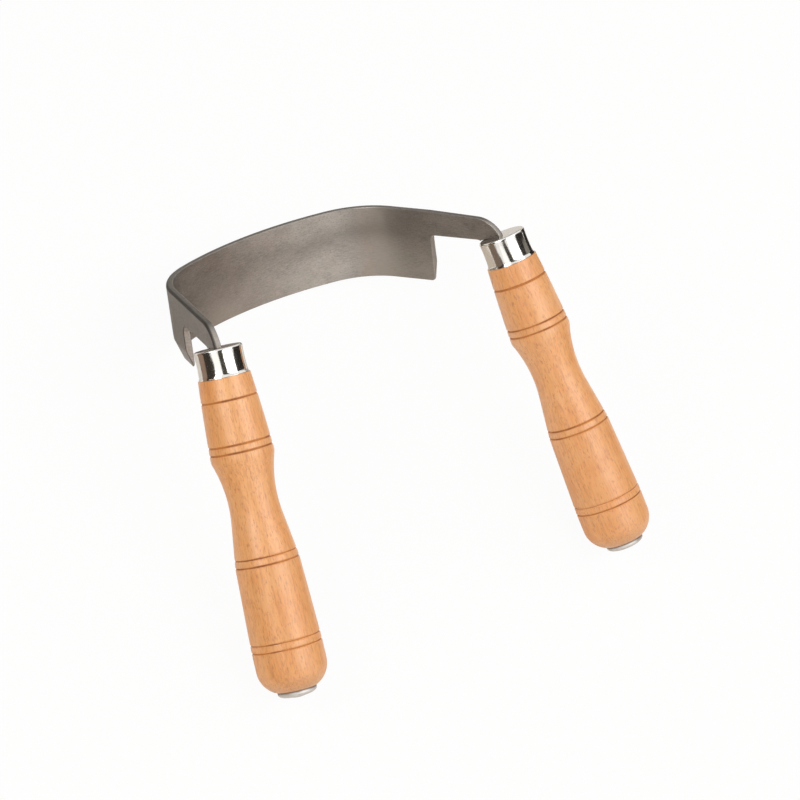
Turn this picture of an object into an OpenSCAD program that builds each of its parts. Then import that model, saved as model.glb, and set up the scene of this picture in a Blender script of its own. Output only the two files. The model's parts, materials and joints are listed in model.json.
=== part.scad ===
// Barrel scraper: a bowed, single-bevel blade pulled by two turned wooden handles.
// Stored as it lies on a table, hollow side up, on the middle of its cutting edge and on both butts.
// +X runs from the left handle to the right one, +Y from the butts to the blade, +Z up. Millimetres.
// The origin is on the table, below the middle of the whole tool.

/* [Blade] */
// Width of the blade from its spine to its cutting edge
blade_width = 31; // [27:0.5:35]
// Thickness of the blade and of its tangs
blade_thickness = 3; // [2.6:0.1:3.6]
// Inside radius of the blade's wide middle bow
bow_radius = 127.5; // [115:0.5:145]
// Half of the angle that the middle bow covers
bow_half_angle = 17; // [14:0.5:20]
// Inside radius of the tight bend at each end of the bow
bend_radius = 27.5; // [23:0.5:32]
// Angle of each arm to the line across the handles
arm_angle = 71.5; // [67:0.5:76]
// Length of each arm from its bend to the handle's axis
arm_length = 54.5; // [51:0.5:60]
// Width of the ground bevel on the outer face
bevel_width = 8; // [5:0.5:12]
// Thickness left at the cutting edge
edge_land = 0.3; // [0.2:0.1:0.8]
// Chamfer along both edges of the spine
spine_chamfer = 0.5; // [0.2:0.1:0.8]

/* [Tangs] */
// Width of a tang where it leaves the blade
tang_width = 10.7; // [9.5:0.1:11.5]
// Distance from the spine to the ferrule's top on the handle's axis
spine_rise = 8; // [7:0.1:9]
// Outside radius of the tang's edgewise bend
tang_bend = 14; // [13:0.5:16]
// Distance of the bent tang's outer edge past the handle's axis
tang_offset = 1.4; // [0.9:0.1:1.8]
// Length of the notch between the left end of the blade and the handle's axis
left_notch = 42.5; // [36:0.5:46]
// Radius in the corner of the left notch
left_notch_fillet = 5; // [3:0.5:6]
// Length of the notch between the right end of the blade and the handle's axis
right_notch = 34.3; // [30:0.1:40]
// Radius in the corner of the right notch
right_notch_fillet = 2; // [1:0.5:4]
// Width of the shank below the tang's shoulder
shank_width = 6; // [5:0.5:6.5]
// Thickness of the shank
shank_thickness = 2.6; // [2.2:0.1:2.8]
// Distance from the bent tang's outer edge to the shank
shank_inset = 1.2; // [0.9:0.1:1.5]
// Width of the shank's step beside the rivet
shank_step = 0.6; // [0.4:0.1:1]
// Radius of the rivet at the end of the shank
rivet_radius = 2; // [1.8:0.1:2.4]
// Length of the rivet inside the grip
rivet_length = 14; // [10:1:20]
// Radius of the peened rivet head
rivet_head_radius = 3.4; // [3:0.1:3.8]
// Height of the peened rivet head
rivet_head_height = 0.7; // [0.4:0.1:1]

/* [Handles] */
// Lean of each handle from the blade's width, in the plane of its arm
handle_lean = 17.8; // [14:0.2:20]
// Length of the wood that shows below the ferrule
grip_length = 128; // [120:1:136]
// Radius of the wood at the ferrule
neck_radius = 10.65; // [10.4:0.05:11]
// Radius of the wood at its upper shoulder
shoulder_radius = 12.95; // [12.4:0.05:13.4]
// Outward swell of the neck between the ferrule and the shoulder
neck_swell = 0.2; // [0:0.05:0.4]
// Distance from the ferrule to the narrowest place
waist_place = 50.5; // [48:0.5:53]
// Radius of the wood at its narrowest place
waist_radius = 10; // [9.4:0.1:10.4]
// Radius of the hollow that forms the waist
waist_hollow = 54; // [48:1:60]
// Distance from the ferrule to the start of the belly
belly_place = 76; // [74:0.5:79]
// Radius of the wood at the start of the belly
belly_radius = 13.05; // [12.6:0.05:13.5]
// Distance from the ferrule to the widest place
butt_place = 110; // [106:1:112]
// Radius of the wood at its widest place
butt_radius = 14.35; // [13.8:0.05:14.8]
// Radius of the rounded butt
butt_round = 10.5; // [9:0.5:12]
// Width of the burnt grooves
groove_width = 1.1; // [0.8:0.1:1.3]
// Depth of the burnt grooves
groove_depth = 0.45; // [0.3:0.05:0.6]
// Distance from the ferrule to the single groove
neck_groove = 9; // [7:0.5:12]
// Distance from the ferrule to the pair of grooves at the shoulder
shoulder_grooves = 26.8; // [24:0.2:28]
// Distance from the ferrule to the pair of grooves at the belly
belly_grooves = 72.7; // [70:0.1:74]
// Distance from the ferrule to the pair of grooves near the butt
butt_grooves = 107.2; // [100:0.2:110]
// Distance between the two grooves of a pair
groove_pitch = 3.1; // [2.6:0.1:3.6]

/* [Ferrules] */
// Height of a ferrule
ferrule_height = 11.7; // [10.5:0.1:13]
// Radius of a ferrule at its top
ferrule_top_radius = 9.9; // [9.6:0.05:10.05]
// Radius of a ferrule at its flared mouth
ferrule_mouth_radius = 10.35; // [10.1:0.05:10.6]
// Height of the flare above a ferrule's mouth
ferrule_flare = 1.8; // [1.2:0.1:2.4]
// Depth of the hollow round a ferrule's side
ferrule_hollow = 0.15; // [0.05:0.05:0.3]
// Thickness of a ferrule's closed top
ferrule_top = 1.2; // [1:0.1:1.6]
// Radius of the bore of a ferrule
ferrule_bore = 8.6; // [8.3:0.05:8.8]
// Radius of a ferrule's rounded top rim
ferrule_rim = 0.9; // [0.5:0.1:1.1]

/* [Butt washers] */
// Radius of a butt washer
washer_radius = 8; // [7.4:0.1:8.6]
// Height of a butt washer's edge
washer_edge = 0.7; // [0.5:0.1:1]
// Height of a butt washer's dome
washer_height = 2.3; // [1.9:0.1:2.8]
// Radius of the flat in the middle of a butt washer
washer_flat = 4; // [3.9:0.1:4.6]

/* [Fits] */
// Gap round the shank in its mortise
shank_gap = 0.1; // [0.05:0.05:0.2]
// Gap round the rivet in its hole
rivet_gap = 0.08; // [0.04:0.02:0.16]
// Gap between a grip's spigot and its ferrule
spigot_gap = 0.05; // [0.02:0.01:0.1]
// Space above the spigot inside a ferrule
spigot_space = 0.4; // [0.2:0.1:0.8]

/* [Hidden] */
$fn = 96;
// Larger than the tool, for cuts that run out of it
past = 300;
// Overlap that lets a cut leave its solid cleanly
clear = 1;
// The bow is this much slimmer than the bends, and runs this far into them, so that they join as one solid
let_in_step = 0.02;
let_in_length = 0.4;
// Whole microns, so that neighbouring pieces meet exactly
function snap(size) = round(size * 1000) / 1000;
// A parabola that is 1 in the middle of a line and 0 at both ends
function swell(part) = 4 * part * (1 - part);
// Blade's own frame: x across, y to the hollow side, z from the spine to the butts,
// zero on the line between the tops of the two ferrules
spine_z = -spine_rise;
edge_z = spine_z + blade_width;
tang_low_z = spine_z + tang_width;
bend_offset = bow_radius - bend_radius;
arm_middle = bend_radius + blade_thickness / 2;
bow_y = bend_offset * cos(bow_half_angle) + arm_middle * cos(arm_angle) - arm_length * sin(arm_angle);
handle_x = bend_offset * sin(bow_half_angle) + arm_middle * sin(arm_angle) + arm_length * cos(arm_angle);
bow_inside_y = bow_y - bow_radius;
let_in_angle = let_in_length / bow_radius * 180 / PI;
// Tang's edgewise bend in the plane of its arm
tang_turn = 90 - handle_lean;
tang_bend_z = spine_z + tang_bend;
tang_bend_x = snap((tang_offset - tang_bend + tang_bend_z * sin(handle_lean)) / cos(handle_lean));
// Stations along a handle, from the top of its ferrule
wood_start = ferrule_height;
wood_end = wood_start + grip_length;
spigot_top = ferrule_top + spigot_space;
spigot_radius = ferrule_bore - spigot_gap;
shank_end = wood_end - rivet_length;
rivet_start = shank_end - rivet_radius;
washer_top = wood_end + washer_height;
// Waist: a round hollow, then a straight flank that leaves it without a corner
waist_z = wood_start + waist_place;
waist_centre = waist_radius + waist_hollow;
flank_x = belly_place - waist_place;
flank_y = waist_centre - belly_radius;
flank_angle = atan2(flank_x, flank_y) - acos(waist_hollow / norm([flank_x, flank_y]));
shoulder_angle = acos((waist_centre - shoulder_radius) / waist_hollow);
shoulder_place = waist_place - waist_hollow * sin(shoulder_angle);
// Butt: an arc from the widest radius to the washer's seat
butt_centre = butt_radius - butt_round;
butt_arc_angle = acos((washer_radius - butt_centre) / butt_round);
butt_arc_place = grip_length - butt_round * sin(butt_arc_angle);
butt_arc_z = wood_start + butt_arc_place;
// Steps of the sampled curves
neck_steps = 8;
waist_steps = 14;
flank_steps = 5;
butt_steps = 10;
dome_steps = 6;
rim_steps = 6;
hollow_steps = 8;
flare_steps = 6;
groove_radius = (groove_width * groove_width / 4 + groove_depth * groove_depth) / (2 * groove_depth);
groove_places = [
    neck_groove,
    shoulder_grooves, shoulder_grooves + groove_pitch,
    belly_grooves, belly_grooves + groove_pitch,
    butt_grooves, butt_grooves + groove_pitch
];
// Height of the cutting edge and of a butt over the table, for one tilt of the tool
function edge_height(tilt) =
    (bow_inside_y - edge_land) * cos(tilt) - (edge_z - let_in_step) * sin(tilt);
function handle_rise(tilt) = sin(arm_angle) * sin(handle_lean) * cos(tilt) - cos(handle_lean) * sin(tilt);
function butt_height(tilt) =
    let (rise = handle_rise(tilt))
    butt_arc_z * rise - butt_centre * sqrt(1 - rise * rise) - butt_round;
// The tilt at which the cutting edge and the butts touch the table together, by halving
function level_tilt(low, high, steps) =
    let (middle = (low + high) / 2)
    steps == 0 ? middle
    : butt_height(middle) > edge_height(middle) ? level_tilt(middle, high, steps - 1)
    : level_tilt(low, middle, steps - 1);
least_tilt = 15;
most_tilt = 75;
halvings = 40;
rest_tilt = level_tilt(least_tilt, most_tilt, halvings);
rest_z = -edge_height(rest_tilt);
// Middle of the tool's length on the table
handle_run = sin(arm_angle) * sin(handle_lean) * sin(rest_tilt) + cos(handle_lean) * cos(rest_tilt);
handle_drop = sqrt(1 - handle_run * handle_run);
butt_reach = max(
    butt_arc_z * handle_run + butt_centre * handle_drop + butt_round,
    (wood_end + washer_edge) * handle_run + washer_radius * handle_drop,
    washer_top * handle_run + washer_flat * handle_drop
);
blade_back_y = bow_inside_y - blade_thickness;
blade_reach = max(
    -(blade_back_y + let_in_step) * sin(rest_tilt) - (spine_z + spine_chamfer) * cos(rest_tilt),
    -(blade_back_y + spine_chamfer) * sin(rest_tilt) - (spine_z + let_in_step) * cos(rest_tilt)
);
rest_y = (butt_reach - blade_reach) / 2;

// Places the blade's own frame on the table
module at_rest() {
    translate([0, rest_y, rest_z])
        rotate([90 + rest_tilt, 0, 0])
            children();
}

// Frame of the right arm: x along the arm, y to the inner face, z across the blade
module on_arm() {
    translate([handle_x, 0, 0])
        rotate([0, 0, arm_angle])
            children();
}

// Frame of the right handle: z along its axis from the ferrule's top to the butt
module on_handle() {
    on_arm()
        rotate([0, handle_lean, 0])
            children();
}

module left_side() {
    mirror([1, 0, 0])
        children();
}

// Blade's cross-section, from its inner face outwards along +x or -x, slimmer by a step all round
module blade_section(inner, way, step) {
    polygon([
        [inner + way * step, edge_z - step],
        [inner + way * edge_land, edge_z - step],
        [inner + way * (blade_thickness - step), edge_z - bevel_width],
        [inner + way * (blade_thickness - step), spine_z + spine_chamfer],
        [inner + way * (blade_thickness - spine_chamfer), spine_z + step],
        [inner + way * spine_chamfer, spine_z + step],
        [inner + way * step, spine_z + spine_chamfer]
    ]);
}

// Tang's cross-section for its edgewise bend, spine outwards
module tang_section() {
    half = blade_thickness / 2;
    polygon([
        [tang_bend - tang_width, -half],
        [tang_bend - spine_chamfer, -half],
        [tang_bend, -half + spine_chamfer],
        [tang_bend, half - spine_chamfer],
        [tang_bend - spine_chamfer, half],
        [tang_bend - tang_width, half]
    ]);
}

// Outline of the space between the blade's end and the handle
module notch_outline(notch, fillet) {
    translate([fillet - notch, tang_low_z + fillet])
        circle(r = fillet);
    translate([fillet - notch, tang_low_z])
        square([past, past]);
    translate([-notch, tang_low_z + fillet])
        square([past, past]);
}

// Straight part of one arm with the notch that leaves its tang
module arm(notch, fillet) {
    difference() {
        translate([-arm_length, 0, 0])
            rotate([90, 0, 90])
                linear_extrude(arm_length + tang_bend_x)
                    blade_section(blade_thickness / 2, -1, 0);
        rotate([90, 0, 0])
            linear_extrude(blade_thickness + 2 * clear, center = true)
                notch_outline(notch, fillet);
    }
}

// Edgewise bend of one tang, cut off flat where its shoulder sits on the ferrule
module tang_bend_piece() {
    difference() {
        translate([tang_bend_x, 0, tang_bend_z])
            rotate([90, 0, 0])
                rotate([0, 0, -90])
                    rotate_extrude(angle = tang_turn)
                        tang_section();
        rotate([0, handle_lean, 0])
            translate([-past / 2, -past / 2, 0])
                cube(past);
    }
}

// Outline of the shank in the handle's frame, from the shoulder to the rivet
module shank_outline(gap) {
    polygon([
        [tang_offset - shank_inset - shank_width - gap, -clear],
        [tang_offset - shank_inset + gap, -clear],
        [rivet_radius + shank_step + gap, shank_end + gap],
        [-rivet_radius - shank_step - gap, shank_end + gap]
    ]);
}

module shank_solid(gap) {
    rotate([90, 0, 0])
        linear_extrude(shank_thickness + 2 * gap, center = true)
            shank_outline(gap);
}

// Rivet with the head that is peened over the washer
module rivet() {
    translate([0, 0, rivet_start])
        cylinder(r = rivet_radius, h = washer_top - rivet_start + rivet_head_height / 2);
    translate([0, 0, washer_top])
        cylinder(r1 = rivet_head_radius, r2 = rivet_radius, h = rivet_head_height);
}

// Tight bend between the bow and one arm
module bend() {
    translate([-arm_length, arm_middle, 0])
        mirror([1, 0, 0])
            rotate([0, 0, -90])
                rotate_extrude(angle = arm_angle - bow_half_angle)
                    blade_section(bend_radius, 1, 0);
}

// One end of the blade: bend, arm, tang, shank and rivet
module blade_end(notch, fillet) {
    on_arm() {
        bend();
        arm(notch, fillet);
        tang_bend_piece();
    }
    on_handle() {
        shank_solid(0);
        rivet();
    }
}

// Section of a grip: spigot, neck, shoulder, waist, flank, belly and rounded butt
module grip_section() {
    difference() {
        polygon(concat(
            [[0, spigot_top], [spigot_radius, spigot_top], [spigot_radius, wood_start]],
            [for (i = [0:neck_steps])
                let (part = i / neck_steps)
                [
                    neck_radius + part * (shoulder_radius - neck_radius) + neck_swell * swell(part),
                    wood_start + part * shoulder_place
                ]
            ],
            [for (i = [1:waist_steps])
                let (turn = shoulder_angle * (1 - i / waist_steps))
                [waist_centre - waist_hollow * cos(turn), waist_z - waist_hollow * sin(turn)]
            ],
            [for (i = [1:flank_steps])
                let (turn = flank_angle * i / flank_steps)
                [waist_centre - waist_hollow * cos(turn), waist_z + waist_hollow * sin(turn)]
            ],
            [[belly_radius, wood_start + belly_place], [butt_radius, wood_start + butt_place]],
            [for (i = [0:butt_steps])
                let (turn = butt_arc_angle * i / butt_steps)
                [butt_centre + butt_round * cos(turn), butt_arc_z + butt_round * sin(turn)]
            ],
            [[0, wood_end]]
        ));
        for (place = groove_places)
            translate([grip_radius(place) + groove_radius - groove_depth, wood_start + place])
                circle(r = groove_radius);
    }
}

// Radius of the wood at a groove: on the neck, on the flank or on the belly
function grip_radius(place) =
    place < shoulder_place ? let (part = place / shoulder_place)
        neck_radius + part * (shoulder_radius - neck_radius) + neck_swell * swell(part)
    : place < belly_place ? belly_radius - (belly_place - place) * tan(flank_angle)
    : belly_radius + (butt_radius - belly_radius) * min(1, (place - belly_place) / (butt_place - belly_place));

module grip() {
    difference() {
        rotate_extrude()
            grip_section();
        shank_solid(shank_gap);
        translate([0, 0, rivet_start - rivet_gap])
            cylinder(r = rivet_radius + rivet_gap, h = grip_length);
    }
}

// Closed cup with a rounded rim, hollowed side, flared mouth and a slot for the shank
module ferrule() {
    flare_start = ferrule_height - ferrule_flare;
    flare_reach = ferrule_mouth_radius - ferrule_top_radius;
    difference() {
        rotate_extrude()
            polygon(concat(
                [[0, 0]],
                [for (i = [0:rim_steps])
                    let (turn = 90 * i / rim_steps)
                    [ferrule_top_radius - ferrule_rim * (1 - sin(turn)), ferrule_rim * (1 - cos(turn))]
                ],
                [for (i = [1:hollow_steps])
                    let (part = i / hollow_steps)
                    [
                        ferrule_top_radius - ferrule_hollow * swell(part),
                        ferrule_rim + part * (flare_start - ferrule_rim)
                    ]
                ],
                [for (i = [1:flare_steps])
                    let (part = i / flare_steps)
                    [ferrule_top_radius + flare_reach * part * part, flare_start + part * ferrule_flare]
                ],
                [[ferrule_bore, ferrule_height], [ferrule_bore, ferrule_top], [0, ferrule_top]]
            ));
        shank_solid(shank_gap);
    }
}

// Domed washer under the rivet head
module washer() {
    hole = rivet_radius + rivet_gap;
    rotate_extrude()
        polygon(concat(
            [[hole, wood_end], [washer_radius, wood_end]],
            [for (i = [0:dome_steps])
                let (turn = 90 * i / dome_steps)
                [
                    washer_flat + (washer_radius - washer_flat) * cos(turn),
                    wood_end + washer_edge + (washer_height - washer_edge) * sin(turn)
                ]
            ],
            [[hole, washer_top]]
        ));
}

module blade() {
    color("#8a837b")
        at_rest() {
            translate([0, bow_y, 0])
                rotate([0, 0, -90 - bow_half_angle - let_in_angle])
                    rotate_extrude(angle = 2 * (bow_half_angle + let_in_angle))
                        blade_section(bow_radius, 1, let_in_step);
            blade_end(right_notch, right_notch_fillet);
            left_side()
                blade_end(left_notch, left_notch_fillet);
        }
}

module left_ferrule() {
    color("#d8d4cc") at_rest() left_side() on_handle() ferrule();
}

module right_ferrule() {
    color("#d8d4cc") at_rest() on_handle() ferrule();
}

module left_grip() {
    color("#e0a468") at_rest() left_side() on_handle() grip();
}

module right_grip() {
    color("#e0a468") at_rest() on_handle() grip();
}

module left_washer() {
    color("#d8d4cc") at_rest() left_side() on_handle() washer();
}

module right_washer() {
    color("#d8d4cc") at_rest() on_handle() washer();
}

blade();
left_ferrule();
right_ferrule();
left_grip();
right_grip();
left_washer();
right_washer();
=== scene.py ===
"""Looks of a two-handled barrel scraper: bowed steel blade, beech grips, nickel ferrules and washers."""
import json
import math

import bmesh
import bpy
import numpy as np
from mathutils import Matrix, Vector


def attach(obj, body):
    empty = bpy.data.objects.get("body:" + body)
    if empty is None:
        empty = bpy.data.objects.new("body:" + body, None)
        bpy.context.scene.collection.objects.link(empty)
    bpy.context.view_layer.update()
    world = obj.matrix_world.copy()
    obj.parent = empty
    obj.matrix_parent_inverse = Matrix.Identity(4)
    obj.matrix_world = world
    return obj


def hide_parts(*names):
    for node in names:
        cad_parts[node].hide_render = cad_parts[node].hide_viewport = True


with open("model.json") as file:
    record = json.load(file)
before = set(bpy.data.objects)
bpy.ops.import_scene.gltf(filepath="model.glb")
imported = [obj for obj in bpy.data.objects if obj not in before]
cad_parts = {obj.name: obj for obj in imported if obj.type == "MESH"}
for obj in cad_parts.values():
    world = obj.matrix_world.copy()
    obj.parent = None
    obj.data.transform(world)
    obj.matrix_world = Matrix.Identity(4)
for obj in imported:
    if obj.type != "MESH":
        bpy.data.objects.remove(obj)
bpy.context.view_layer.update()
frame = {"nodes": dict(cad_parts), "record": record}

MM = 0.001

# Blade and tangs, in millimetres and degrees, as in the solids
BLADE_WIDTH = 31.0
BLADE_THICKNESS = 3.0
BOW_RADIUS = 127.5
BOW_HALF_ANGLE = math.radians(17.0)
BEND_RADIUS = 27.5
ARM_ANGLE = math.radians(71.5)
ARM_LENGTH = 54.5
BEVEL_WIDTH = 8.0
EDGE_LAND = 0.3
TANG_WIDTH = 10.7
SPINE_RISE = 8.0
TANG_BEND = 14.0
TANG_OFFSET = 1.4
HANDLE_LEAN = math.radians(17.8)

# Each half of the blank, in millimetres: notch, its fillet, round of the lower tip, narrowing of the tang
LEFT_HALF = (42.5, 5.0, 3.2, 0.0)
RIGHT_HALF = (34.3, 2.0, 1.8, 0.9)

# Roundings that the hand feels on the blade, in millimetres, and the share of a thin edge that one may take
SPINE_ROUND = 0.5
SPINE_CORNER = 1.2
EDGE_ROUND = 0.35
THIN_SHARE = 0.4

# Painted highlights and painted shadows on the hollow face of the flat blank: strength, then place and spread
# along and across, in mm
PAINTED_HIGHLIGHTS = (
    (1.0, 61.0, 10.0, 7.0, 90.0),  # painted highlight at the right bend
    (0.9, -25.0, 16.0, 22.0, 11.0),  # painted highlight near the edge, left of the middle
    (0.22, 20.0, 60.0, 18.0, 9.0),  # painted highlight near the edge, all along
    (0.4, 80.0, 10.0, 20.0, 8.0),  # painted highlight at the right end
    (0.25, -20.0, 12.0, -6.0, 4.0),  # painted highlight below the spine
)
PAINTED_SHADOWS = (
    (0.78, 77.0, 11.0, -0.5, 9.0),  # painted shadow beyond the right bend
    (0.45, -5.0, 25.0, 4.0, 4.5),  # long painted shadow down the middle of the face, in four parts
    (0.75, 30.0, 18.0, 4.5, 4.5),
    (0.85, 52.0, 12.0, 1.5, 4.5),
    (0.35, 68.0, 8.0, 2.5, 4.0),
)

# Wear and painted shade on the blade's roundings, as shares: rubbed, sheared with painted shade, and painted
# edge shade, and the spine's painted shade step by step
EDGE_RUB, SPINE_RUB = 0.5, 0.2
SHEAR_AND_SHADE_ROUND, SHEAR_AND_SHADE_CORNER = 1.3, 0.6
EDGE_SHADE = 0.6
SPINE_SHADE = (0.9, 1.0, 0.9, 0.1)
# The spine is filed bright from this place on, over this length, in millimetres, and to this share
FILED_START, FILED_FADE, FILED_SHARE = 112.0, 6.0, 0.75
# Brightness of the cut ends on the left half, as a share of the right half's; the left ends are kept darker
# as painted shade
LEFT_CUT_SHARE = 0.35

# Handle, in millimetres; places count from the ferrule's top or, in the wood, from where the wood starts
FERRULE_HEIGHT = 11.7
FERRULE_TOP_RADIUS = 9.9
FERRULE_MOUTH_RADIUS = 10.35
FERRULE_FLARE = 1.8
FERRULE_HOLLOW = 0.15
FERRULE_TOP = 1.2
FERRULE_BORE = 8.6
FERRULE_RIM = 0.9
FERRULE_LIP = 0.2
SPIGOT_RADIUS = 8.55
SPIGOT_TOP = 1.6
GRIP_LENGTH = 128.0
NECK_RADIUS = 10.65
SHOULDER_RADIUS = 12.95
NECK_SWELL = 0.2
WAIST_PLACE = 50.5
WAIST_RADIUS = 10.0
WAIST_HOLLOW = 54.0
BELLY_PLACE = 76.0
BELLY_RADIUS = 13.05
BUTT_PLACE = 110.0
BUTT_RADIUS = 14.35
BUTT_ROUND = 10.5
GROOVE_WIDTH = 1.1
GROOVE_DEPTH = 0.3
GROOVE_PITCH = 3.1
NECK_GROOVE = 9.0
PAIRED_GROOVES = (26.8, 72.7, 107.2)
WASHER_RADIUS = 8.0
WASHER_EDGE = 0.7
WASHER_HEIGHT = 2.65
WASHER_FLAT = 4.0
RIVET_RADIUS = 2.0
RIVET_HEAD_RADIUS = 3.4
RIVET_HEAD_HEIGHT = 0.7
# Painted shadow in the seam round the butt washer, and the length over which the lathe softened the corners
# of the wood
BUTT_SEAM_SHADOW = 0.3
TURNED_SOFTNESS = 1.2

# Burnt share of each groove's width, one at the neck and then the pairs, and how fast the burn fades
BURNT_SHARES = {
    "left": (0.85, 0.87, 0.87, 0.65, 0.78, 0.6, 0.68),
    "right": (0.98, 0.75, 0.8, 0.82, 0.78, 0.45, 0.68),
}
BURN_FADE = 2.8
# Dirt and painted shade on the nickel, as a share: ferrules' tops, dirt with a painted dark reflection;
# washers' edges, a painted shadow in the seam; washers' domes with the rivet heads, dirt
FERRULE_TOP_DIRT_AND_SHADE = {"left": 0.7, "right": 0.3}
SEAM_SHADOW = 1.0
BUTT_SOIL = 0.3

# Mesh steps of the blade: along each half's outline, round its corners, and down its faces
EDGE_STATIONS = 100
END_STATIONS = 28
TANG_STATIONS = 16
BEND_STATIONS = 19
TIP_STEPS = 5
NOTCH_STEPS = 10
ROUND_STEPS = 4
FLAT_ROWS = 16
BEVEL_ROWS = 6
# Least width of the rows below the crease, in millimetres, and the shares of the width between which it lies
LEAST_BEVEL = 0.6
CREASE_SHARES = (0.5, 0.95)
BLADE_CRISP = math.radians(40.0)

# Mesh steps of the turned pieces: round the axis, and along the profile of each
TURNED_SEGMENTS = 144
GRIP_RINGS = 130
GROOVE_RINGS = 15
BUTT_RINGS = 24
RIM_RINGS = 9
SIDE_RINGS = 20
FLARE_RINGS = 10
DOME_RINGS = 14
RIVET_RINGS = 9
TURNED_CRISP = math.radians(50.0)
# Closer rings: reach to each side of a groove, as a share of its width, and length at the butt in millimetres
GROOVE_REACH = 0.62
BUTT_FINE = 10.0
# Step of the softened profile, in millimetres, and decimals to which equal rings are made one
PROFILE_STEP = 0.1
RING_DECIMALS = 4

# Camera, in metres, degrees and millimetres: where it stands, what it looks at, how it is rolled, its lens
CAMERA_PLACE = Vector((-1.0330, -0.4594, 1.5521))
CAMERA_AIM = Vector((0.0063, -0.0050, 0.0424))
CAMERA_ROLL = math.radians(38.695)
CAMERA_LENS = 208.09
CAMERA_SENSOR = 36.0
CAMERA_REACH = 20.0

# Light and floor: colours, strengths, and how much of the floor's white shows to the eye and in metal
WHITE = (1.0, 1.0, 1.0)
DAYLIGHT = (1.0, 0.985, 0.965)
DAYLIGHT_STRENGTH = 0.34
FLOOR_COLOUR = (0.84, 0.8, 0.755)
FLOOR_HALF_SIZE = 4.0
FLOOR_WHITE = 0.95
FLOOR_IN_METAL = 0.1

# Soft boxes, in metres and watts: place, point that it looks at, size, power, and whether metal shows it
SOFT_BOXES = {
    "left_soft_box": ((-0.75, 0.2, 0.6), (-0.02, 0.0, 0.03), (0.5, 0.4), 3.4, True),
    "right_soft_box": ((0.22, -0.45, 1.15), (0.0, 0.0, 0.03), (1.3, 0.7), 7.2, True),
    "right_fill": ((0.8, -0.15, 0.45), (0.0, 0.0, 0.03), (0.6, 0.5), 2.2, False),
}

# Cards that only metal and lacquer show, in metres: a corner, two sides, and the colour
REFLECTION_CARDS = {
    "left_dark_card": ((-0.8, -0.1, 0.0), (0.0, 0.8, 0.0), (0.0, 0.0, 0.38), (0.04, 0.034, 0.027)),
    "left_floor_card": ((-0.8, -0.1, 0.002), (0.53, 0.0, 0.0), (0.0, 0.8, 0.0), (0.05, 0.04, 0.032)),
    "left_brown_card": ((-0.27, -0.15, 0.002), (0.14, 0.0, 0.0), (0.0, 0.45, 0.0), (0.3, 0.21, 0.16)),
    "left_white_card": ((-1.0, -0.7, 0.39), (0.0, 0.9, 0.0), (0.0, 0.0, 1.0), (1.25, 1.25, 1.24)),
    "front_brown_card": ((-0.8, -0.22, 0.0), (0.0, 0.12, 0.0), (0.0, 0.0, 0.2), (0.12, 0.085, 0.065)),
    "front_white_card": ((-0.75, -1.1, 0.05), (1.6, 0.0, 0.0), (0.0, 0.0, 0.85), (1.6, 1.58, 1.55)),
    "front_floor_card": ((-0.015, -0.05, 0.002), (0.07, 0.0, 0.0), (0.0, 0.102, 0.0), (0.95, 0.91, 0.86)),
    "back_dark_card": ((-0.6, 0.8, 0.0), (1.6, 0.0, 0.0), (0.0, 0.0, 0.22), (0.03, 0.027, 0.023)),
    "right_dark_card": ((0.45, -0.4, 0.0), (0.0, 0.31, 0.0), (0.0, 0.0, 0.75), (0.025, 0.022, 0.02)),
    "right_grey_card": ((0.44, -0.1, 0.26), (0.0, 0.12, -0.246), (0.0, 0.0, 0.25), (0.24, 0.225, 0.2)),
    "right_low_card": ((0.45, -0.1, 0.0), (0.0, 0.07, 0.0), (0.0, 0.0, 0.3), (0.03, 0.024, 0.019)),
    "right_floor_strip": ((-0.03, 0.03, 0.003), (0.12, 0.0186, 0.0), (0.0, 0.013, 0.0), (0.58, 0.51, 0.43)),
    "near_dark_card": ((0.16, 0.02, 0.03), (0.0, 0.047, 0.0), (0.0, 0.0, 0.074), (0.025, 0.022, 0.02)),
    "middle_brown_card": ((0.034, 0.016, 0.049), (0.0, 0.016, 0.0), (0.0, 0.0, 0.0215), (0.2, 0.15, 0.115)),
    "gap_card": ((-1.12, -1.0, 0.9), (0.47, 0.0, 0.0), (0.6, 1.0, 0.0), (0.05, 0.047, 0.038)),
}


# Shader expressions

class Value:
    """One output socket of a node tree. Sums, differences and products of values add Math nodes."""

    def __init__(self, tree, socket):
        self.tree = tree
        self.socket = socket

    def math(self, operation, first, second):
        """Adds one Math node."""
        return self.tree.node("ShaderNodeMath", {"operation": operation}, {0: first, 1: second})

    def __add__(self, other):
        return self.math("ADD", self, other)

    def __sub__(self, other):
        return self.math("SUBTRACT", self, other)

    def __rsub__(self, other):
        return self.math("SUBTRACT", other, self)

    def __mul__(self, other):
        return self.math("MULTIPLY", self, other)

    __radd__ = __add__
    __rmul__ = __mul__

    def clamped(self):
        """The value, held between 0 and 1."""
        return self.tree.node("ShaderNodeClamp", {}, {"Value": self, "Min": 0.0, "Max": 1.0})

    def stepped(self, low, high, most=1.0):
        """0 below low, the most above high, and a smooth rise between them."""
        settings = {"interpolation_type": "SMOOTHSTEP"}
        limits = {"Value": self, "From Min": low, "From Max": high, "To Max": most}
        return self.tree.node("ShaderNodeMapRange", settings, limits)


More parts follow.
